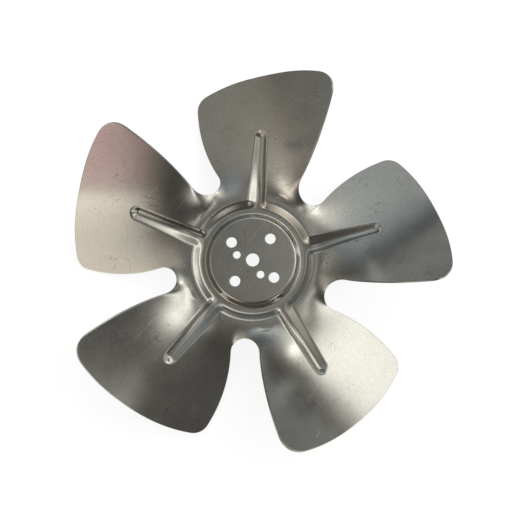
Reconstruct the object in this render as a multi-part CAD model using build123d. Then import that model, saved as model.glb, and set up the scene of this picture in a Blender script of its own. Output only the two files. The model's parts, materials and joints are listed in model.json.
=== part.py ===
from build123d import *
from build123d.topology import SkipClean
import os
from math import atan2, cos, degrees, hypot, radians, sin, tan

# Five-blade axial fan for a small motor, blanked and pressed from one aluminium sheet.
# Origin: centre of the shaft hole on the front face of the flat hub disc.
# +Z: out of the front face along the shaft.  +X: along the rib of the index blade.
# Lengths are millimetres and angles are degrees.

# Sheet
overall_diameter = 172.0
sheet_thickness = 0.8
blade_count = 5

# Round notch between neighbouring blades
notch_centre_radius = 42.7
notch_radius = 6.7
notch_lean = -0.9

# Blade outline: the direction in which each edge leaves its notch, and the corner it runs to.
# The lead edge stands out towards the front, the trail edge towards the back.
lead_edge_direction = -25.0
lead_corner_inset = 3.9
lead_corner_angle = -22.0
lead_corner_rounding = 10.5
trail_edge_direction = 36.4
trail_corner_inset = 2.0
trail_corner_angle = 23.0
trail_corner_rounding = 7.0
tip_crown_angle = 3.0

# Blade form: the flat hub ends at the bend, where the pitch comes in, and the blade rises
# towards the tip.  A soft fold leans across the rib line, from the notch at the lead edge to
# the middle of the tip, and both sides of it turn up to the front.
hub_flat_radius = 28.2
bend_offset = 1.3
bend_length = 12.5
pitch_angle = 40.3
rise_offset = 2.7
rise_angle = 6.4
rise_rounding = 6.0
fold_lean = 16.0
fold_overrun = 2.0
fold_length = 16.5
fold_angle = 18.8
fold_rounding = 8.5
notch_blend_angle = 11.4

# Ring groove pressed into the hub and rib groove pressed into each blade, towards the back
flank_angle = 40.0
floor_rounding = 0.85
ring_radius = 23.9
ring_land = 1.2
ring_depth = 2.7
rib_end_radius = 57.0
rib_land_at_ring = 2.2
rib_land_at_end = 1.8
rib_depth_at_ring = 2.4
rib_depth_at_end = 2.0

# Holes in the hub disc
shaft_hole_diameter = 6.0
screw_circle_diameter = 25.4
screw_hole_diameter = 4.8
screw_count = 4
locating_hole_diameter = 3.4
locating_hole_spacing = 14.2
locating_hole_offset = 2.9

# Fineness of the pressed surfaces
radial_steps = 30
angular_steps = 50
outline_steps = 12
rib_steps = 7
surface_tolerance = 0.02
hub_crowding = 0.4
closeness = 0.01

tip_radius = overall_diameter / 2
blade_spacing = 360 / blade_count
half_spacing = blade_spacing / 2
bend_radius = hub_flat_radius + bend_offset
rise_radius = hub_flat_radius + rise_offset
flank_slope = tan(radians(flank_angle))
trim_margin = 4 * sheet_thickness


def polar(radius, angle):
    """Point in the plane of the hub disc."""
    return Vector(radius * cos(radians(angle)), radius * sin(radians(angle)))


def on_blade(blade, shape):
    """Shape turned from the index blade to another blade."""
    return Rot(0, 0, blade * blade_spacing) * shape


def smooth_step(position):
    """Rises from 0 to 1 with level ends."""
    held = min(max(position, 0.0), 1.0)
    return held**2 * (3 - 2 * held)


def bent_slope(radius, angle, length):
    """Slope that comes in from the bend round the hub and nears an angle further out."""
    bent = max(radius - bend_radius, 0.0) / length
    return tan(radians(angle)) * bent**2 / (1 + bent**2)


def blade_height(along, across):
    """Height of one blade's front face: rise, pitch and fold."""
    radius = hypot(along, across)
    risen = max(radius - rise_radius, 0.0)
    rise = tan(radians(rise_angle)) * risen**2 / (risen + rise_rounding)
    pitch = bent_slope(radius, pitch_angle, bend_length)
    fold = bent_slope(radius, fold_angle, fold_length)
    lean = radians(fold_lean)
    aside = across * cos(lean) + (tip_radius + fold_overrun - along) * sin(lean)
    return rise - pitch * across + fold * (hypot(aside, fold_rounding) - fold_rounding)


def front_point(radius, angle):
    """Point of the front face, with neighbouring blades blended across the notch."""
    height = 0.0
    total = 0.0
    for neighbour in (-1, 0, 1):
        turn = angle - neighbour * blade_spacing
        share = smooth_step((half_spacing + notch_blend_angle - abs(turn)) / (2 * notch_blend_angle))
        spot = polar(radius, turn)
        height += share * blade_height(spot.X, spot.Y)
        total += share
    spot = polar(radius, angle)
    return Vector(spot.X, spot.Y, height / total)


def sheet_point(radius, angle, depth):
    """Point at a depth below the front face, square to it."""
    outwards = front_point(radius + closeness, angle) - front_point(radius - closeness, angle)
    around = front_point(radius, angle + closeness) - front_point(radius, angle - closeness)
    return front_point(radius, angle) - outwards.cross(around).normalized() * depth


def sector_surface(depth):
    """One blade's sector of the sheet at a depth, from the flat hub to beyond the tip."""
    reach = tip_radius + trim_margin - hub_flat_radius
    rows = []
    for row in range(radial_steps + 1):
        share = row / radial_steps
        radius = hub_flat_radius + reach * share * (1 - hub_crowding * (1 - share))
        turns = [2 * column / angular_steps - 1 for column in range(angular_steps + 1)]
        rows.append([sheet_point(radius, turn * half_spacing, depth) for turn in turns])
    return Face.make_surface_from_array_of_points(rows, tol=surface_tolerance, min_deg=3, max_deg=3)


def blank_face():
    """Outline of the blades seen along the shaft, cut square through at the front face."""
    lead_corner = polar(tip_radius - lead_corner_inset, lead_corner_angle)
    trail_corner = polar(tip_radius - trail_corner_inset, trail_corner_angle)
    notch_before = polar(notch_centre_radius, notch_lean - half_spacing)
    notch_after = polar(notch_centre_radius, notch_lean + half_spacing)
    lead_start = notch_before + polar(notch_radius, lead_edge_direction + 90)
    trail_start = notch_after + polar(notch_radius, trail_edge_direction - 90)
    notch_bottom = polar(notch_centre_radius - notch_radius, notch_lean + half_spacing)
    edges = [
        TangentArc(lead_start, lead_corner, tangent=polar(1, lead_edge_direction)),
        ThreePointArc(lead_corner, polar(tip_radius, tip_crown_angle), trail_corner),
        TangentArc(trail_start, trail_corner, tangent=polar(1, trail_edge_direction)),
        ThreePointArc(trail_start, notch_bottom, lead_start.rotate(Axis.Z, blade_spacing)),
    ]
    blades = range(blade_count)
    blank = make_face([on_blade(blade, edge) for blade in blades for edge in edges])
    for corner, rounding in ((lead_corner, lead_corner_rounding), (trail_corner, trail_corner_rounding)):
        for blade in blades:
            place = corner.rotate(Axis.Z, blade * blade_spacing)
            blank = fillet(blank.vertices().sort_by_distance(place)[0], rounding)
    return blank


def carried_edge(edge):
    """Edge of the outline carried through the sheet to its back face."""
    points = []
    for step in range(outline_steps + 1):
        spot = edge @ (step / outline_steps)
        angle = degrees(atan2(spot.Y, spot.X))
        turn = round(angle / blade_spacing) * blade_spacing
        back = sheet_point(hypot(spot.X, spot.Y), angle - turn, sheet_thickness)
        back = back.rotate(Axis.Z, turn)
        points.append((back.X, back.Y))
    return Spline(points)


def trimmed(surface, outline):
    """Part of a sector's surface inside an outline."""
    punch = Pos(0, 0, -tip_radius) * extrude(outline, 2 * tip_radius)
    with SkipClean():
        return (surface & punch).faces()[0]


def edge_radius(edge):
    """Distance of an edge's middle from the shaft."""
    middle = edge @ 0.5
    return hypot(middle.X, middle.Y)


def edge_angle(edge):
    """Direction of an edge's middle from the shaft."""
    middle = edge @ 0.5
    return degrees(atan2(middle.Y, middle.X))


def plain_sheet():
    """Pitched blades round a flat hub, before the grooves and the holes."""
    blank = blank_face()
    back_blank = make_face([carried_edge(edge) for edge in blank.edges()])
    front = trimmed(sector_surface(0), blank)
    back = trimmed(sector_surface(sheet_thickness), back_blank)
    inner_front = front.edges().sort_by(edge_radius)[0]
    inner_back = back.edges().sort_by(edge_radius)[0]
    sector = [front, back]
    for edge in front.edges():
        on_seam = abs(abs(edge_angle(edge)) - half_spacing) < closeness
        on_hub = edge_radius(edge) < hub_flat_radius + closeness
        if on_seam or on_hub:
            continue
        mate = back.edges().sort_by_distance(edge @ 0.5)[0]
        sector.append(Face.make_surface_from_curves(edge, mate))
    blades = range(blade_count)
    faces = [on_blade(blade, face) for blade in blades for face in sector]
    for inner in (inner_front, inner_back):
        faces.append(make_face([on_blade(blade, inner) for blade in blades]).face())
    return Solid(Shell(faces))


def channel(land, depth, skin):
    """Section of a groove, x across it and y out of the sheet, with a skin added all round."""
    half_land = land / 2 + skin * tan(radians(flank_angle / 2))
    top = sheet_thickness if skin == 0 else -sheet_thickness / 2
    half_top = half_land + (depth + skin + top) / flank_slope
    bottom = -depth - skin
    corners = [(-half_top, top), (-half_land, bottom), (half_land, bottom), (half_top, top)]
    section = make_face(Polyline(*corners, close=True))
    return fillet(section.vertices().group_by(Axis.Y)[0], floor_rounding + skin)


def ring_groove(skin):
    """Ring round the hub disc."""
    return revolve(Plane.XZ * Pos(ring_radius, 0) * channel(ring_land, ring_depth, skin), Axis.Z)


def rib_plane(along):
    """Plane across the rib, with y square to the blade."""
    step = blade_height(along, closeness) - blade_height(along, -closeness)
    across = (0, 2 * closeness, step)
    return Plane(origin=(along, 0, blade_height(along, 0)), x_dir=across, z_dir=(1, 0, 0))


def rib_groove(skin):
    """Tapering rib along the index blade, out of the ring to a round end."""
    sections = []
    for step in range(rib_steps + 1):
        share = step / rib_steps
        along = ring_radius + (rib_end_radius - ring_radius) * share
        land = rib_land_at_ring + (rib_land_at_end - rib_land_at_ring) * share
        depth = rib_depth_at_ring + (rib_depth_at_end - rib_depth_at_ring) * share
        sections.append(rib_plane(along) * channel(land, depth, skin))
    end = channel(rib_land_at_end, rib_depth_at_end, skin)
    half_end = split(end, Plane.YZ)
    nose = rib_plane(rib_end_radius) * revolve(half_end, Axis.Y, -180)
    return loft(sections) + nose


def hub_holes():
    """Shaft hole, motor screw holes and the pair of locating holes."""
    screws = PolarLocations(screw_circle_diameter / 2, screw_count)
    locators = Pos(locating_hole_offset, 0) * GridLocations(0, locating_hole_spacing, 1, 2)
    holes = [Cylinder(shaft_hole_diameter / 2, trim_margin)]
    holes += [place * Cylinder(screw_hole_diameter / 2, trim_margin) for place in screws]
    holes += [place * Cylinder(locating_hole_diameter / 2, trim_margin) for place in locators]
    return holes


def fan_blade():
    """The whole fan: sheet, bulges of the grooves on the back, grooves on the front, holes."""
    blades = range(blade_count)
    bulge = rib_groove(sheet_thickness)
    groove = rib_groove(0)
    fan = plain_sheet() + ring_groove(sheet_thickness)
    for blade in blades:
        fan += on_blade(blade, bulge)
    fan -= ring_groove(0)
    for blade in blades:
        fan -= on_blade(blade, groove)
    for hole in hub_holes():
        fan -= hole
    return fan


os.makedirs("parts", exist_ok=True)
export_step(fan_blade().solid(), "parts/fan_blade.step")
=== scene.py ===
import json
from math import ceil, cos, hypot, pi, radians, sin, tan

import bpy
import numpy as np
from mathutils import Matrix, Vector
from mathutils.geometry import delaunay_2d_cdt


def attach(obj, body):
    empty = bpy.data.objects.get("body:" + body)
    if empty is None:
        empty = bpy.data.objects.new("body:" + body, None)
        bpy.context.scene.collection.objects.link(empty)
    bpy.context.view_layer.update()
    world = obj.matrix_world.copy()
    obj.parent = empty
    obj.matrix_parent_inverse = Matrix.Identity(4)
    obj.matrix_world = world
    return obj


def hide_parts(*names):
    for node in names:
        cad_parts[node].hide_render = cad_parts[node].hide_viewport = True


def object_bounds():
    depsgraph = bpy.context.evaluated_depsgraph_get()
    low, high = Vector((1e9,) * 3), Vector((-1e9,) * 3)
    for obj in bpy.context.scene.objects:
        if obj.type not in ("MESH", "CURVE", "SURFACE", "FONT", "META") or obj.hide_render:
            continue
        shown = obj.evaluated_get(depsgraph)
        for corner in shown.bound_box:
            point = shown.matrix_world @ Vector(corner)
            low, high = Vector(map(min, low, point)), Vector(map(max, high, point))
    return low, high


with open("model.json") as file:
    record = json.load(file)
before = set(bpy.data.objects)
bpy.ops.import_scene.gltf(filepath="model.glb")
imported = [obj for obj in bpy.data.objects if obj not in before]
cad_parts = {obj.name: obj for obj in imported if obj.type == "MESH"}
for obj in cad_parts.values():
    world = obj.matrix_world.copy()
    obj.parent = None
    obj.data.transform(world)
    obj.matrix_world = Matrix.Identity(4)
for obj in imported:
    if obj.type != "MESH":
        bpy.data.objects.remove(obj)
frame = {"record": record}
cad_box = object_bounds()
mounts = {mount["name"]: mount for mount in frame["record"]["mounts"]}

# Sizes of the pressed sheet, in millimetres and degrees: those of the part, and those of the
# softer forms that the part leaves to this script
metres = 0.001
index_blade_turn = 230.2
tip_radius = 86.0
sheet_thickness = 0.8
blade_count = 5
blade_spacing = 360 / blade_count
half_spacing = blade_spacing / 2

notch_centre_radius = 42.7
notch_radius = 6.7
notch_lean = -0.9
lead_edge_direction = -25.0
lead_corner_radius = 82.1
lead_corner_angle = -22.0
lead_corner_rounding = 10.5
trail_edge_direction = 36.4
trail_corner_radius = 84.0
trail_corner_angle = 23.0
trail_corner_rounding = 7.0
tip_crown_angle = 3.0

bend_radius = 29.5
bend_length = 12.5
pitch_angle = 40.3
rise_radius = 30.9
rise_angle = 6.4
rise_rounding = 6.0
fold_lean = 16.0
fold_overrun = 2.0
fold_length = 16.5
fold_angle = 18.8
fold_rounding = 8.5
notch_blend_angle = 11.4
edge_blend_angle = 5.0
blend_start_radius = 37.0
blend_end_radius = 50.0

flank_slope = tan(radians(40.0))
disc_flank_slope = tan(radians(52.0))
rib_shoulder_rounding = 1.1
rib_floor_rounding = 0.7
disc_shoulder_rounding = 0.8
disc_floor_rounding = 0.5
ring_shoulder_rounding = 1.6
ring_floor_rounding = 1.2
ring_radius = 23.9
ring_land = 1.2
disc_side_land = 4.2
ring_depth = 2.7
rib_end_radius = 57.0
rib_land_at_ring = 2.2
rib_land_at_end = 1.8
rib_depth_at_ring = 2.4
rib_depth_at_end = 2.0
rib_floor_aside = 1.0
rib_straight_radius = 46.0

# Short crease that the die leaves on the lead side of each blade's root
die_mark_radius = 32.0
die_mark_angle = -21.0
die_mark_length = 7.0
die_mark_width = 1.8
die_mark_depth = 0.25

# Fineness of the mesh, in millimetres, and how close its points come, in shares of a step
disc_radius = 18.6
fine_radius = 34.0
outline_step = 0.8
blade_step = 0.95
groove_step = 0.5
disc_step = 1.3
edge_rounding = 0.12
edge_support = 0.25
nudge = 0.01
weld_distance = 0.02
hole_step_angle = 10
row_spacing = 0.866
around_spacing = 1.15
loop_clearance = 0.6
hole_clearance = 0.5
floor_gap = 0.5


def polar(radius, angle):
    return np.array([radius * cos(radians(angle)), radius * sin(radians(angle))])


def turned(points, angle):
    """Plan points turned about the shaft."""
    c, s = cos(radians(angle)), sin(radians(angle))
    return points @ np.array([[c, s], [-s, c]])


def smooth_step(position):
    held = np.clip(position, 0, 1)
    return held**2 * (3 - 2 * held)


def bent_slope(radius, angle, length):
    """Slope that comes in from the bend round the hub and nears an angle further out."""
    bent = np.maximum(radius - bend_radius, 0) / length
    return tan(radians(angle)) * bent**2 / (1 + bent**2)


def blade_height(along, across):
    """Height of one blade's front face: rise, pitch and fold."""
    radius = np.hypot(along, across)
    risen = np.maximum(radius - rise_radius, 0)
    rise = tan(radians(rise_angle)) * risen**2 / (risen + rise_rounding)
    pitch = bent_slope(radius, pitch_angle, bend_length)
    fold = bent_slope(radius, fold_angle, fold_length)
    lean = radians(fold_lean)
    aside = across * cos(lean) + (tip_radius + fold_overrun - along) * sin(lean)
    return rise - pitch * across + fold * (np.hypot(aside, fold_rounding) - fold_rounding)


def plain_face(plan):
    """Front face of the sheet before its grooves, neighbouring blades blended across the notch."""
    angle = np.degrees(np.arctan2(plan[:, 1], plan[:, 0]))
    radius = np.hypot(plan[:, 0], plan[:, 1])
    narrowed = smooth_step((radius - blend_start_radius) / (blend_end_radius - blend_start_radius))
    blend = notch_blend_angle + (edge_blend_angle - notch_blend_angle) * narrowed
    height, total = 0, 0
    for neighbour in (-1, 0, 1):
        turn = angle - neighbour * blade_spacing
        share = smooth_step((half_spacing + blend - np.abs(turn)) / (2 * blend))
        spot = turned(plan, -neighbour * blade_spacing)
        height = height + share * blade_height(spot[:, 0], spot[:, 1])
        total = total + share
    return np.column_stack([plan, height / total])


def normals(face, plan):
    """Normals of a face that is given as a function of plan points."""
    east, north = np.array([nudge, 0]), np.array([0, nudge])
    along = face(plan + east) - face(plan - east)
    across = face(plan + north) - face(plan - north)
    square = np.cross(along, across)
    return square / np.linalg.norm(square, axis=1)[:, None]


def rounded_ramp(position, rounding):
    """Zero before the start and rising after it, with a rounded corner."""
    bend = np.clip(position + rounding, 0, 2 * rounding) ** 2 / (4 * rounding)
    return np.where(position > rounding, position, bend)


def groove_share(distance, land, depth, slope, shoulder_radius, floor_radius):
    """How far down the groove a point is, from 0 on the sheet to 1 on the groove's floor.

    Shoulder and floor are rounded by parabolas with these radii where their slope is half the flank's.
    """
    run = depth / slope
    slant = (1 + (slope / 2) ** 2) ** 1.5
    shoulder = shoulder_radius * depth / (2 * run**2 * slant)
    floor = floor_radius * depth / (2 * run**2 * slant)
    down = 1 + (land / 2 - distance) / run
    return rounded_ramp(down, shoulder) - rounded_ramp(down - 1, floor)


def grooves(plan):
    """How far down the ring groove and the rib groove of the index blade a point is, in ring depths."""
    radius = np.hypot(plan[:, 0], plan[:, 1])
    blade_side = groove_share(radius - ring_radius, ring_land, ring_depth, flank_slope,
                              ring_shoulder_rounding, ring_floor_rounding)
    disc_side = groove_share(ring_radius - radius, disc_side_land, ring_depth, disc_flank_slope,
                             disc_shoulder_rounding, disc_floor_rounding)
    ring = np.where(radius > ring_radius, blade_side, disc_side)
    along = plan[:, 0]
    slope = (blade_height(along, nudge) - blade_height(along, -nudge)) / (2 * nudge)
    across = plan[:, 1] * np.hypot(1, slope)
    share = np.clip((along - ring_radius) / (rib_end_radius - ring_radius), 0, 1)
    land = rib_land_at_ring + (rib_land_at_end - rib_land_at_ring) * share
    depth = rib_depth_at_ring + (rib_depth_at_end - rib_depth_at_ring) * share
    reach = np.hypot(across, np.maximum(along - rib_end_radius, 0))
    rib_share = groove_share(reach, land, depth, flank_slope, rib_shoulder_rounding, rib_floor_rounding)
    rib = np.where(along > ring_radius, rib_share * depth / ring_depth, 0)
    return ring, rib


def die_mark(plan):
    """Depth of the die's crease."""
    radius = np.hypot(plan[:, 0], plan[:, 1])
    angle = np.arctan2(plan[:, 1], plan[:, 0]) - radians(die_mark_angle)
    along = angle * die_mark_radius / (die_mark_length / 2)
    across = (radius - die_mark_radius) / (die_mark_width / 2)
    return die_mark_depth * np.maximum(1 - along**2 - across**2, 0)


def front_face(plan):
    """Front face of the pressed sheet, the grooves square to the blade.

    Near the hub, where the sheet is still level, the rib's floor lies aside towards the lead edge.
    """
    ring, rib = grooves(plan)
    depth = ring_depth * (1 - (1 - ring) * (1 - rib)) + die_mark(plan)
    level = smooth_step((rib_straight_radius - plan[:, 0]) / (rib_straight_radius - bend_radius))
    face = plain_face(plan) - normals(plain_face, plan) * depth[:, None]
    face[:, 1] -= rib_floor_aside * level * rib * (1 - ring)
    return face


def flat_face(plan):
    return np.column_stack([plan, np.zeros(len(plan))])


def arc(centre, start, end, step):
    """Points along the shorter arc from start up to, but not at, the end."""
    first = np.arctan2(*(start - centre)[::-1])
    last = np.arctan2(*(end - centre)[::-1])
    turn = (last - first + pi) % (2 * pi) - pi
    radius = hypot(*(start - centre))
    count = max(ceil(abs(turn) * radius / step), 1)
    angles = first + turn * np.arange(count) / count
    return centre + radius * np.column_stack([np.cos(angles), np.sin(angles)])


def tangent_centre(start, end, direction):
    """Centre of the arc that leaves start in a direction and runs to the end."""
    side = polar(1, direction + 90)
    chord = end - start
    return start + side * (chord @ chord) / (2 * chord @ side)


def three_point_centre(a, b, c):
    rows = 2 * np.array([b - a, c - a])
    return np.linalg.solve(rows, np.array([b @ b - a @ a, c @ c - a @ a]))


def corner_arc(corner, edge_centre, tip_centre, rounding, inside):
    """Centre and ends of the rounding between a blade's edge and its tip."""
    edge_radius = hypot(*(corner - edge_centre))
    tip_arc_radius = hypot(*(corner - tip_centre))
    toward = -1 if hypot(*(inside - edge_centre)) < edge_radius else 1
    near, far = edge_radius + toward * rounding, tip_arc_radius - rounding
    gap = tip_centre - edge_centre
    span = hypot(*gap)
    along = (span**2 + near**2 - far**2) / (2 * span)
    aside = np.sqrt(near**2 - along**2)
    base = edge_centre + gap / span * along
    square = np.array([-gap[1], gap[0]]) / span * aside
    centre = min(base + square, base - square, key=lambda spot: hypot(*(spot - corner)))
    on_edge = edge_centre + (centre - edge_centre) / near * edge_radius
    on_tip = tip_centre + (centre - tip_centre) / far * tip_arc_radius
    return centre, on_edge, on_tip


def blade_outline():
    """Cut edge of one blade from the bottom of the notch before it to the notch after it."""
    before = polar(notch_centre_radius, notch_lean - half_spacing)
    after = polar(notch_centre_radius, notch_lean + half_spacing)
    bottom_before = polar(notch_centre_radius - notch_radius, notch_lean - half_spacing)
    bottom_after = polar(notch_centre_radius - notch_radius, notch_lean + half_spacing)
    lead_start = before + polar(notch_radius, lead_edge_direction + 90)
    trail_start = after + polar(notch_radius, trail_edge_direction - 90)
    lead_corner = polar(lead_corner_radius, lead_corner_angle)
    trail_corner = polar(trail_corner_radius, trail_corner_angle)
    lead_centre = tangent_centre(lead_start, lead_corner, lead_edge_direction)
    trail_centre = tangent_centre(trail_start, trail_corner, trail_edge_direction)
    tip_centre = three_point_centre(lead_corner, polar(tip_radius, tip_crown_angle), trail_corner)
    middle = (lead_corner + trail_corner) * 0.4
    lead_round, lead_end, tip_start = corner_arc(
        lead_corner, lead_centre, tip_centre, lead_corner_rounding, middle)
    trail_round, trail_end, tip_end = corner_arc(
        trail_corner, trail_centre, tip_centre, trail_corner_rounding, middle)
    runs = [
        (before, bottom_before, lead_start),
        (lead_centre, lead_start, lead_end),
        (lead_round, lead_end, tip_start),
        (tip_centre, tip_start, tip_end),
        (trail_round, tip_end, trail_end),
        (trail_centre, trail_end, trail_start),
        (after, trail_start, bottom_after),
    ]
    points = [arc(centre, start, end, outline_step) for centre, start, end in runs]
    return np.vstack(points + [bottom_after[None]])


def rightward(before, after):
    """Unit directions to the right of the way from one row of points to another."""
    way = after - before
    way = way / np.linalg.norm(way, axis=1)[:, None]
    return np.column_stack([way[:, 1], -way[:, 0]])


def inside_loop(points, loop):
    """Which plan points lie inside a closed loop."""
    x, y = points[:, :1], points[:, 1:]
    ends = np.roll(loop, -1, axis=0)
    crosses = (loop[:, 1] > y) != (ends[:, 1] > y)
    rise = np.where(ends[:, 1] == loop[:, 1], 1, ends[:, 1] - loop[:, 1])
    where = loop[:, 0] + (y - loop[:, 1]) / rise * (ends[:, 0] - loop[:, 0])
    return (crosses & (x < where)).sum(axis=1) % 2 == 1


def clear_of(points, loop, distance):
    """Which plan points keep a distance from the points of a loop."""
    gaps = np.linalg.norm(points[:, None] - loop[None], axis=2)
    return gaps.min(axis=1) > distance


def lattice(low, high, step):
    """Points of a triangular pattern over a rectangle in the plan."""
    columns = np.arange(low[0], high[0], step)
    rows = np.arange(low[1], high[1], step * row_spacing)
    x, y = np.meshgrid(columns, rows)
    x = x + np.where(np.arange(len(rows)) % 2, step / 2, 0)[:, None]
    return np.column_stack([x.ravel(), y.ravel()])


def cut_sheet(name, face, loop, holes, edges, inner):
    """Closed sheet over the plan inside a loop, with rounded cut edges.

    edges are (rim, support, closed): two rows of points along each cut edge, material on their
    left, and whether they close to a ring.
    """
    rings = [loop] + holes
    points = np.vstack(rings + [inner])
    bounds, start = [], 0
    for ring in rings:
        bounds += [(start + i, start + (i + 1) % len(ring)) for i in range(len(ring))]
        start += len(ring)
    flat, _, triangles, _, _, _ = delaunay_2d_cdt(
        [Vector(point) for point in points], bounds, [], 1, 1e-5)
    plan = np.array([[point.x, point.y] for point in flat])
    triangles = np.array([list(triangle) for triangle in triangles])
    centres = plan[triangles].mean(axis=1)
    kept = inside_loop(centres, loop)
    for hole in holes:
        kept &= ~inside_loop(centres, hole)
    triangles = triangles[kept]
    corners = plan[triangles]
    first, second = corners[:, 1] - corners[:, 0], corners[:, 2] - corners[:, 0]
    wrong_way = first[:, 0] * second[:, 1] - first[:, 1] * second[:, 0] < 0
    triangles[wrong_way] = triangles[wrong_way][:, ::-1]
    front = face(plan)
    back = front - normals(face, plan) * sheet_thickness
    vertices = [front, back]
    faces = triangles.tolist() + (triangles[:, ::-1] + len(plan)).tolist()
    size = 2 * len(plan)
    for rim, support, closed in edges:
        rows = edge_rows(face, rim, support, closed)
        count = len(rim)
        for row in range(len(rows) - 1):
            here, below = size + row * count, size + (row + 1) * count
            for i in range(count if closed else count - 1):
                j = (i + 1) % count
                faces.append((here + i, below + i, below + j, here + j))
        vertices += rows
        size += len(rows) * count
    mesh = bpy.data.meshes.new(name)
    mesh.from_pydata(np.vstack(vertices) * metres, [], faces, shade_flat=False)
    return bpy.data.objects.new(name, mesh)


def edge_rows(face, rim, support, closed):
    """Rows of points from the front over the rounded cut edge to the back."""
    if closed:
        before, after = np.roll(rim, 1, axis=0), np.roll(rim, -1, axis=0)
    else:
        before = np.vstack([turned(rim[-2:-1], -blade_spacing), rim[:-1]])
        after = np.vstack([rim[1:], turned(rim[1:2], blade_spacing)])
    top = face(rim)
    square = normals(face, rim)
    way = face(after) - face(before)
    outward = np.cross(way, square)
    outward = outward / np.linalg.norm(outward, axis=1)[:, None]
    rows = [face(support), top]
    for angle in (45, 90):
        out, down = edge_rounding * sin(radians(angle)), edge_rounding * (1 - cos(radians(angle)))
        rows.append(top + outward * out - square * down)
    for angle in (90, 45):
        out, up = edge_rounding * sin(radians(angle)), edge_rounding * (1 - cos(radians(angle)))
        rows.append(top + outward * out - square * (sheet_thickness - up))
    rows.append(top - square * sheet_thickness)
    rows.append(rows[0] - normals(face, support) * sheet_thickness)
    return rows


def blade_sector():
    """One blade with its share of the ring groove, from the flat disc to the tip."""
    outline = blade_outline()
    before = np.vstack([turned(outline[-2:-1], -blade_spacing), outline[:-1]])
    after = np.vstack([outline[1:], turned(outline[1:2], blade_spacing)])
    outward = rightward(before, after)
    rim = outline - outward * edge_rounding
    support = outline - outward * (edge_rounding + edge_support)
    seam_angle = notch_lean + half_spacing
    seam_end = hypot(*support[-1])
    seam_count = ceil((seam_end - disc_radius) / groove_step)
    seam = np.linspace(disc_radius, seam_end, seam_count + 1)
    far_seam = np.array([polar(radius, seam_angle) for radius in seam[:-1][::-1]])
    near_seam = np.array([polar(radius, seam_angle - blade_spacing) for radius in seam[1:-1]])
    angles = disc_angles(seam_angle)[1:]
    inner_arc = np.array([polar(disc_radius, angle) for angle in angles])
    loop = np.vstack([support, far_seam, inner_arc, near_seam])
    hub_points = []
    for row, radius in enumerate(np.arange(disc_radius + groove_step, fine_radius, groove_step)):
        count = round(radians(blade_spacing) * radius / (groove_step * around_spacing))
        shares = (np.arange(count) + (row % 2) / 2) / count
        hub_points += [polar(radius, seam_angle - blade_spacing * share) for share in shares]
    hub_points = np.array(hub_points)
    low, high = np.array([bend_radius, -tip_radius]), np.array([tip_radius, tip_radius])
    coarse = lattice(low, high, blade_step)
    rib_half_width = 6.0
    rib_reach = rib_end_radius + rib_half_width
    on_rib = (np.abs(coarse[:, 1]) < rib_half_width) & (coarse[:, 0] < rib_reach)
    fine = lattice((bend_radius, -rib_half_width), (rib_reach, rib_half_width), groove_step)
    blade_points = np.vstack([coarse[~on_rib], fine])
    beyond = np.hypot(blade_points[:, 0], blade_points[:, 1]) > fine_radius
    inner = np.vstack([hub_points, blade_points[beyond]])
    inner = inner[inside_loop(inner, loop)]
    inner = inner[clear_of(inner, loop, groove_step * loop_clearance)]
    return cut_sheet("blade", front_face, loop, [], [(rim, support, False)], inner)


def disc_angles(seam_angle):
    """Directions of the disc's edge points over one blade, from one seam to the other."""
    count = round(radians(blade_spacing) * disc_radius / (groove_step * around_spacing))
    return seam_angle - blade_spacing * np.arange(count + 1) / count


def hub_disc():
    """Flat disc inside the ring groove, with its shaft, screw and locating holes."""
    screws, locators = mounts["motor_screws"]["dims"], mounts["locating_holes"]["dims"]
    aside = mounts["locating_holes"]["pos_m"][0] / metres
    holes = [(np.zeros(2), mounts["shaft_hole"]["dims"]["r_mm"])]
    for screw in range(screws["count"]):
        place = polar(screws["pcd_mm"] / 2, screw * 360 / screws["count"])
        holes.append((place, screws["hole_r_mm"]))
    for side in (-1, 1):
        holes.append((np.array([aside, side * locators["spacing_y_mm"] / 2]), locators["hole_r_mm"]))
    seam_angle = notch_lean + half_spacing
    edge = []
    for blade in range(blade_count):
        angles = disc_angles(seam_angle - blade * blade_spacing)[:-1]
        edge += [polar(disc_radius, angle) for angle in angles]
    loop = np.array(edge)[::-1]
    edges, supports = [], []
    for place, radius in holes:
        angles = np.radians(np.arange(0, -360, -hole_step_angle))
        circle = np.column_stack([np.cos(angles), np.sin(angles)])
        rim = place + circle * (radius + edge_rounding)
        support = place + circle * (radius + edge_rounding + edge_support)
        edges.append((rim, support, True))
        supports.append(support)
    inner = lattice((-disc_radius, -disc_radius), (disc_radius, disc_radius), disc_step)
    inner = inner[inside_loop(inner, loop) & clear_of(inner, loop, disc_step * loop_clearance)]
    for support in supports:
        inner = inner[~inside_loop(inner, support)]
        inner = inner[clear_of(inner, support, disc_step * hole_clearance)]
    return cut_sheet("hub_disc", flat_face, loop, supports, edges, inner)


def add_node(tree, kind, settings=(), inputs=()):
    """Adds a node; inputs gives each socket a value, or the socket that feeds it."""
    node = tree.nodes.new(kind)
    for name, value in dict(settings).items():
        setattr(node, name, value)
    for socket, value in dict(inputs).items():
        if isinstance(value, bpy.types.NodeSocket):
            tree.links.new(value, node.inputs[socket])
        else:
            node.inputs[socket].default_value = value
    return node


def linear(hex_colour):
    """sRGB hex colour as linear red, green, blue and alpha."""
    parts = [int(hex_colour[i:i + 2], 16) / 255 for i in (1, 3, 5)]
    return [c / 12.92 if c <= 0.04045 else ((c + 0.055) / 1.055) ** 2.4 for c in parts] + [1.0]


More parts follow.
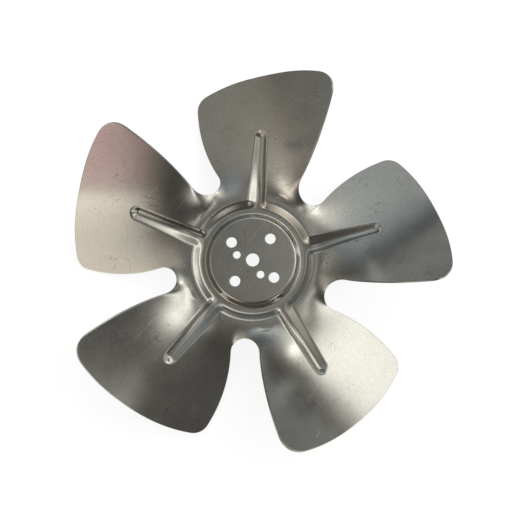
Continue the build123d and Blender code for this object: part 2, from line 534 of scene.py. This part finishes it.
def wheel_tree():
    """Repeats one blade round the shaft, adds the disc and welds the seams."""
    tree = bpy.data.node_groups.new("fan_wheel", "GeometryNodeTree")
    face = tree.interface
    face.new_socket("Blade", in_out="INPUT", socket_type="NodeSocketGeometry")
    face.new_socket("Hub disc", in_out="INPUT", socket_type="NodeSocketObject")
    face.new_socket("Blade count", in_out="INPUT", socket_type="NodeSocketInt")
    face.new_socket("Blade spacing", in_out="INPUT", socket_type="NodeSocketFloat")
    face.new_socket("Weld distance", in_out="INPUT", socket_type="NodeSocketFloat")
    face.new_socket("Finish", in_out="INPUT", socket_type="NodeSocketMaterial")
    face.new_socket("Wheel", in_out="OUTPUT", socket_type="NodeSocketGeometry")
    given = add_node(tree, "NodeGroupInput").outputs
    points = add_node(tree, "GeometryNodePoints", inputs={"Count": given["Blade count"]})
    index = add_node(tree, "GeometryNodeInputIndex")
    turn = add_node(tree, "ShaderNodeMath", {"operation": "MULTIPLY"},
                    {0: index.outputs[0], 1: given["Blade spacing"]})
    rotation = add_node(tree, "ShaderNodeCombineXYZ", inputs={"Z": turn.outputs[0]})
    blades = add_node(tree, "GeometryNodeInstanceOnPoints",
                      inputs={"Points": points.outputs[0], "Instance": given["Blade"],
                              "Rotation": rotation.outputs[0]})
    disc = add_node(tree, "GeometryNodeObjectInfo", inputs={"Object": given["Hub disc"]})
    whole = add_node(tree, "GeometryNodeJoinGeometry", inputs={0: blades.outputs[0]})
    tree.links.new(disc.outputs["Geometry"], whole.inputs[0])
    real = add_node(tree, "GeometryNodeRealizeInstances", inputs={0: whole.outputs[0]})
    welded = add_node(tree, "GeometryNodeMergeByDistance",
                      inputs={0: real.outputs[0], "Distance": given["Weld distance"]})
    finished = add_node(tree, "GeometryNodeSetMaterial",
                        inputs={0: welded.outputs[0], "Material": given["Finish"]})
    add_node(tree, "NodeGroupOutput", inputs={0: finished.outputs[0]})
    return tree


def fan_wheel(finish):
    """The whole pressed wheel as one plain mesh."""
    blade, disc = blade_sector(), hub_disc()
    for part in (blade, disc):
        bpy.context.scene.collection.objects.link(part)
    tree = wheel_tree()
    modifier = blade.modifiers.new("wheel", "NODES")
    modifier.node_group = tree
    sizes = {"Hub disc": disc, "Blade count": blade_count, "Blade spacing": radians(blade_spacing),
             "Weld distance": weld_distance * metres, "Finish": finish}
    for socket in tree.interface.items_tree:
        if socket.name in sizes:
            modifier[socket.identifier] = sizes[socket.name]
    evaluated = blade.evaluated_get(bpy.context.evaluated_depsgraph_get())
    mesh = bpy.data.meshes.new_from_object(evaluated)
    mesh.name = "fan_wheel"
    wheel = bpy.data.objects.new("fan_wheel", mesh)
    bpy.context.scene.collection.objects.link(wheel)
    for part in (blade, disc):
        bpy.data.objects.remove(part)
    return wheel


def per_size(size):
    """Texture scale at which a pattern's features are a size in millimetres."""
    return 1 / (size * metres)


def mill_aluminium():
    """Rolled aluminium sheet in its mill finish, pressed and handled.

    A satin grey metal that mirrors its surroundings softly, with faint rolling lines, cloudy patches,
    a fine grain, light scratches, thin curved scuffs and a few dark specks.
    """
    rolling_turn, rolling_length, rolling_width = radians(-118.0), 26.0, 0.5
    scratch_turn, scratch_length, scratch_width = radians(35.0), 30.0, 0.45
    cloud_size, patch_size, grain_size = 9.0, 19.0, 0.9
    curl_size, speck_spacing = 11.0, 1.7
    material = bpy.data.materials.new("mill_finish_aluminium")
    material.use_nodes = True
    tree = material.node_tree
    shader = tree.nodes["Principled BSDF"]
    place = add_node(tree, "ShaderNodeTexCoord").outputs["Object"]

    # Rolling lines run one way over the blank; real ones are finer, and drawn 0.5 mm wide to show
    rolled = add_node(tree, "ShaderNodeMapping", inputs={
        "Vector": place, "Rotation": (0, 0, rolling_turn),
        "Scale": (per_size(rolling_length), per_size(rolling_width), 0)})
    lines = add_node(tree, "ShaderNodeTexNoise", inputs={
        "Vector": rolled.outputs[0], "Scale": 1.0, "Detail": 2.0}).outputs["Fac"]
    clouds = add_node(tree, "ShaderNodeTexNoise", inputs={
        "Vector": place, "Scale": per_size(cloud_size), "Detail": 5.0, "Roughness": 0.6}).outputs["Fac"]
    patches = add_node(tree, "ShaderNodeTexNoise", inputs={
        "Vector": place, "Scale": per_size(patch_size), "Detail": 1.0}).outputs["Fac"]
    grain = add_node(tree, "ShaderNodeTexNoise", inputs={
        "Vector": place, "Scale": per_size(grain_size), "Detail": 3.0}).outputs["Fac"]
    mottle = add_node(tree, "ShaderNodeMapRange", inputs={
        "Value": grain, "From Min": 0.38, "From Max": 0.66}).outputs[0]

    # Thin curved scuffs where the sheet was rubbed, and straight scratches there and on the disc
    crossed = add_node(tree, "ShaderNodeMapping", inputs={
        "Vector": place, "Rotation": (0, 0, scratch_turn),
        "Scale": (per_size(scratch_length), per_size(scratch_width), 0)})
    strokes = add_node(tree, "ShaderNodeTexNoise", inputs={
        "Vector": crossed.outputs[0], "Scale": 1.0, "Detail": 0.0}).outputs["Fac"]
    scratches = add_node(tree, "ShaderNodeMapRange", inputs={
        "Value": strokes, "From Min": 0.74, "From Max": 0.80}).outputs[0]
    curls = add_node(tree, "ShaderNodeTexNoise", inputs={
        "Vector": place, "Scale": per_size(curl_size), "Detail": 2.0, "Distortion": 0.3}).outputs["Fac"]
    on_curl = add_node(tree, "ShaderNodeMath", {"operation": "COMPARE"}, {0: curls, 1: 0.5, 2: 0.006})
    rubbed = add_node(tree, "ShaderNodeMapRange", inputs={
        "Value": patches, "From Min": 0.55, "From Max": 0.62}).outputs[0]
    off_shaft = add_node(tree, "ShaderNodeVectorMath", {"operation": "LENGTH"}, {0: place}).outputs["Value"]
    on_disc = add_node(tree, "ShaderNodeMath", {"operation": "LESS_THAN"},
                       {0: off_shaft, 1: disc_radius * metres}).outputs[0]
    scraped = add_node(tree, "ShaderNodeMath", {"operation": "MAXIMUM"}, {0: rubbed, 1: on_disc}).outputs[0]
    scuffs = add_node(tree, "ShaderNodeMath", {"operation": "MULTIPLY"},
                      {0: on_curl.outputs[0], 1: rubbed}).outputs[0]
    scratches = add_node(tree, "ShaderNodeMath", {"operation": "MULTIPLY"},
                         {0: scratches, 1: scraped}).outputs[0]

    # Dark specks in loose groups
    dots = add_node(tree, "ShaderNodeTexVoronoi", inputs={
        "Vector": place, "Scale": per_size(speck_spacing)}).outputs["Distance"]
    dots = add_node(tree, "ShaderNodeMapRange", inputs={
        "Value": dots, "From Min": 0.20, "From Max": 0.12}).outputs[0]
    dirty = add_node(tree, "ShaderNodeMapRange", inputs={
        "Value": patches, "From Min": 0.43, "From Max": 0.36}).outputs[0]
    specks = add_node(tree, "ShaderNodeMath", {"operation": "MULTIPLY"}, {0: dots, 1: dirty}).outputs[0]

    # Colour: cloudy grey, then lines and mottling, then the marks
    grey = add_node(tree, "ShaderNodeMix", {"data_type": "RGBA"}, {
        "Factor": clouds, "A": linear("#AEAEAB"), "B": linear("#C7C7C3")}).outputs["Result"]
    tones = [(lines, 0.12, "#8E8C86"), (mottle, 0.20, "#86857F"), (scuffs, 0.30, "#5C5A56"),
             (specks, 0.65, "#3A3936"), (scratches, 0.30, "#D2D0C8")]
    for mask, share, tone in tones:
        amount = add_node(tree, "ShaderNodeMath", {"operation": "MULTIPLY"}, {0: mask, 1: share})
        grey = add_node(tree, "ShaderNodeMix", {"data_type": "RGBA"}, {
            "Factor": amount.outputs[0], "A": grey, "B": linear(tone)}).outputs["Result"]

    # Roughness: satin, duller in the clouds and along the scratches
    satin = add_node(tree, "ShaderNodeMapRange", inputs={
        "Value": clouds, "From Min": 0.3, "From Max": 0.7, "To Min": 0.17, "To Max": 0.21}).outputs[0]
    dull = add_node(tree, "ShaderNodeMath", {"operation": "MULTIPLY_ADD"},
                    {0: scratches, 1: 0.15, 2: satin}).outputs[0]

    # Heights in millimetres: grain, rolling lines and scratches
    height = add_node(tree, "ShaderNodeMath", {"operation": "MULTIPLY"}, {0: grain, 1: 0.006}).outputs[0]
    for relief, depth in ((lines, 0.004), (scratches, -0.006)):
        height = add_node(tree, "ShaderNodeMath", {"operation": "MULTIPLY_ADD"},
                          {0: relief, 1: depth, 2: height}).outputs[0]
    bump = add_node(tree, "ShaderNodeBump", inputs={"Height": height, "Distance": metres})

    shader.inputs["Metallic"].default_value = 1.0
    tree.links.new(grey, shader.inputs["Base Color"])
    tree.links.new(dull, shader.inputs["Roughness"])
    tree.links.new(bump.outputs[0], shader.inputs["Normal"])
    return material


def floor_paint():
    """Pale matt floor that the camera sees as white, with the fan's shadow on it.

    The metal mirrors a white pool under the fan that fades to the floor's own grey further off.
    """
    floor_light, pool_radius, fade_radius = 0.78, 0.12, 0.24
    material = bpy.data.materials.new("white_floor")
    material.use_nodes = True
    tree = material.node_tree
    shader = tree.nodes["Principled BSDF"]
    shader.inputs["Base Color"].default_value = linear("#B0B4B9")
    shader.inputs["Roughness"].default_value = 0.9
    shader.inputs["Emission Color"].default_value = (1, 1, 1, 1)
    path = add_node(tree, "ShaderNodeLightPath").outputs
    mirrored = add_node(tree, "ShaderNodeMath", {"operation": "MAXIMUM"},
                        {0: path["Is Glossy Ray"], 1: path["Is Transmission Ray"]})
    place = add_node(tree, "ShaderNodeTexCoord").outputs["Object"]
    away = add_node(tree, "ShaderNodeVectorMath", {"operation": "LENGTH"}, {0: place})
    pool = add_node(tree, "ShaderNodeMapRange", {"interpolation_type": "SMOOTHSTEP"}, {
        "Value": away.outputs["Value"], "From Min": fade_radius, "From Max": pool_radius})
    shown = add_node(tree, "ShaderNodeMath", {"operation": "MULTIPLY_ADD"},
                     {0: mirrored.outputs[0], 1: pool.outputs[0], 2: path["Is Camera Ray"]})
    glow = add_node(tree, "ShaderNodeMath", {"operation": "MULTIPLY"},
                    {0: shown.outputs[0], 1: floor_light})
    tree.links.new(glow.outputs[0], shader.inputs["Emission Strength"])
    return material


def stage_floor(height):
    floor_size = 4.0
    bpy.ops.mesh.primitive_plane_add(size=floor_size, location=(0, 0, height))
    floor = bpy.context.object
    floor.name = "floor"
    floor.data.materials.append(floor_paint())


def photo_camera():
    """Camera above the fan, where the photograph was taken from."""
    focal_pixels, image_pixels = 666.61, 512
    place = Vector((9.29, -32.49, 304.49)) * metres
    right = Vector((0.99967, 0.0, -0.02563))
    up = Vector((0.002865, 0.99373, 0.111753))
    back = right.cross(up)
    turn = Matrix.Rotation(radians(-index_blade_turn), 4, "Z")
    camera_data = bpy.data.cameras.new("camera")
    camera_data.lens = focal_pixels / image_pixels * camera_data.sensor_width
    camera = bpy.data.objects.new("camera", camera_data)
    rows = Matrix((right, up, back)).transposed().to_4x4()
    camera.matrix_world = turn @ Matrix.Translation(place) @ rows
    camera_data.clip_start = 0.01
    bpy.context.scene.collection.objects.link(camera)
    bpy.context.scene.camera = camera


def image_direction(around, off_axis):
    """Direction as the photograph shows it: degrees round from its right, and off the shaft's line."""
    flat = polar(sin(radians(off_axis)), around - index_blade_turn)
    return Vector((flat[0], flat[1], cos(radians(off_axis))))


def studio_light():
    """Dim room with soft cards round the fan, each brightest at its middle and fading over its spread.

    A card is its direction, its spread in degrees, its colour and its strength at the middle.
    """
    daylight, warm_wall, cool_sky, pink_cloth = "#FFFDF4", "#FFF6E6", "#D2E9F7", "#FFD2CE"
    cards = [
        (image_direction(30, 55), 12, daylight, 1.8),
        (image_direction(58, 55), 7, daylight, 2.5),
        (image_direction(70, 45), 20, warm_wall, 1.1),
        (image_direction(358, 56), 18, daylight, 2.0),
        (image_direction(18, 78), 12, daylight, 1.6),
        (image_direction(104, 52), 28, cool_sky, 0.42),
        (image_direction(190, 55), 35, warm_wall, 0.55),
        (image_direction(230, 62), 14, warm_wall, 1.5),
        (image_direction(240, 85), 12, pink_cloth, 0.9),
        (image_direction(302, 82), 12, daylight, 2.2),
        (image_direction(0, 15), 12, daylight, 0.85),
    ]
    room_colour, room_strength = "#FFF7EE", 0.09
    world = bpy.data.worlds.new("studio")
    bpy.context.scene.world = world
    world.use_nodes = True
    tree = world.node_tree
    way = add_node(tree, "ShaderNodeTexCoord").outputs["Generated"]
    total = add_node(tree, "ShaderNodeVectorMath", {"operation": "SCALE"},
                     {0: linear(room_colour)[:3], "Scale": room_strength})
    for middle, spread, colour, strength in cards:
        tightness = 1 / (1 - cos(radians(spread)))
        facing = add_node(tree, "ShaderNodeVectorMath", {"operation": "DOT_PRODUCT"}, {0: way, 1: middle})
        away = add_node(tree, "ShaderNodeMath", {"operation": "MULTIPLY_ADD"},
                        {0: facing.outputs["Value"], 1: tightness, 2: -tightness})
        falloff = add_node(tree, "ShaderNodeMath", {"operation": "EXPONENT"}, {0: away.outputs[0]})
        level = add_node(tree, "ShaderNodeMath", {"operation": "MULTIPLY"},
                         {0: falloff.outputs[0], 1: strength})
        card = add_node(tree, "ShaderNodeVectorMath", {"operation": "SCALE"},
                        {0: linear(colour)[:3], "Scale": level.outputs[0]})
        total = add_node(tree, "ShaderNodeVectorMath", {"operation": "ADD"},
                         {0: total.outputs[0], 1: card.outputs[0]})

    # The camera sees a plain white backdrop in place of the room
    path = add_node(tree, "ShaderNodeLightPath").outputs
    backdrop = add_node(tree, "ShaderNodeMix", {"data_type": "RGBA"}, {
        "Factor": path["Is Camera Ray"], "A": total.outputs[0], "B": linear("#FFFFFF")})
    tree.links.new(backdrop.outputs["Result"], tree.nodes["Background"].inputs["Color"])


bpy.context.scene.view_settings.view_transform = "Standard"
wheel = fan_wheel(mill_aluminium())
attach(wheel, "root")
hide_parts("fan_blade")
stage_floor(cad_box[0].z - floor_gap * metres)
photo_camera()
studio_light()
